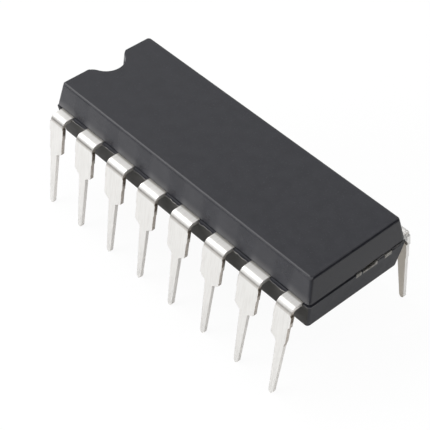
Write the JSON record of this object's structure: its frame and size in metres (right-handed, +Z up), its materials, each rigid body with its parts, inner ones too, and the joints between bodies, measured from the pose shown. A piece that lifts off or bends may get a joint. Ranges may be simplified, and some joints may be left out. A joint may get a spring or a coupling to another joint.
{
  "type": "dual in-line integrated circuit",
  "caption": "Black moulded dual in-line chip package with an orientation notch and two rows of bent, shouldered leads that plug into a board or socket.",
  "frame": {"origin": "middle of the footprint at the height of the lead tips", "axes": "+X along the body from the notched end to the plain end, +Z up out of the top face, leads 1 to 8 on the -Y side"},
  "size_m": [0.0194, 0.0096, 0.0073],
  "materials": {
    "mould_compound": "fine matt moulded surface",
    "tinned_lead": "satin tin plate over copper alloy, bare brown metal on the cut edges",
    "bare_copper": "bare copper alloy",
    "silver_adhesive": "silver-filled adhesive",
    "silicon": "polished wafer",
    "gold_wire": "drawn gold"
  },
  "bodies": {
    "root": {"moulded_body": "mould_compound", "die_paddle": "bare_copper", "die_attach": "silver_adhesive", "die": "silicon", "lead_01": "tinned_lead", "lead_02": "tinned_lead", "lead_03": "tinned_lead", "lead_04": "tinned_lead", "lead_05": "tinned_lead", "lead_06": "tinned_lead", "lead_07": "tinned_lead", "lead_08": "tinned_lead", "lead_09": "tinned_lead", "lead_10": "tinned_lead", "lead_11": "tinned_lead", "lead_12": "tinned_lead", "lead_13": "tinned_lead", "lead_14": "tinned_lead", "lead_15": "tinned_lead", "lead_16": "tinned_lead", "bond_wire_01": "gold_wire", "bond_wire_02": "gold_wire", "bond_wire_03": "gold_wire", "bond_wire_04": "gold_wire", "bond_wire_05": "gold_wire", "bond_wire_06": "gold_wire", "bond_wire_07": "gold_wire", "bond_wire_08": "gold_wire", "bond_wire_09": "gold_wire", "bond_wire_10": "gold_wire", "bond_wire_11": "gold_wire", "bond_wire_12": "gold_wire", "bond_wire_13": "gold_wire", "bond_wire_14": "gold_wire", "bond_wire_15": "gold_wire", "bond_wire_16": "gold_wire"}
  },
  "joints": []
}
